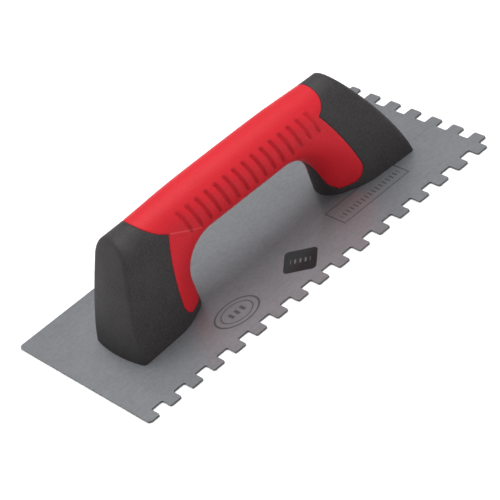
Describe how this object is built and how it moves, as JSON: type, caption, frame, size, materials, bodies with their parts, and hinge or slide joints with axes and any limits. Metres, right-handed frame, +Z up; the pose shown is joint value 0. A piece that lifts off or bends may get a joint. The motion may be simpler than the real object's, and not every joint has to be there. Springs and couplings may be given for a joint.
{
  "type": "notched trowel",
  "caption": "Hand trowel for spreading adhesive: a thin steel blade with square notches on two edges and a closed soft-grip handle.",
  "frame": {"origin": "middle of the blade's underside", "axes": "+X along the blade to its notched short end, -Y to the notched long edge, +Z up through the handle"},
  "size_m": [0.28, 0.13, 0.0726],
  "materials": {
    "blade_steel": "satin, fine grain",
    "black_plastic": "matt, finely textured",
    "red_rubber": "soft, satin",
    "plug_plastic": "matt",
    "rivet_steel": "ground flush",
    "zinc_steel": "zinc plated"
  },
  "bodies": {
    "root": {"blade": "blade_steel", "handle_core": "black_plastic", "soft_grip": "red_rubber", "rear_mounting_plate": "zinc_steel", "rear_rivets": "rivet_steel", "rear_stud": "zinc_steel", "rear_washer": "zinc_steel", "rear_lock_washer": "zinc_steel", "rear_nut": "zinc_steel", "rear_well_plug": "plug_plastic", "front_mounting_plate": "zinc_steel", "front_rivets": "rivet_steel", "front_stud": "zinc_steel", "front_washer": "zinc_steel", "front_lock_washer": "zinc_steel", "front_nut": "zinc_steel", "front_well_plug": "plug_plastic"}
  },
  "joints": []
}
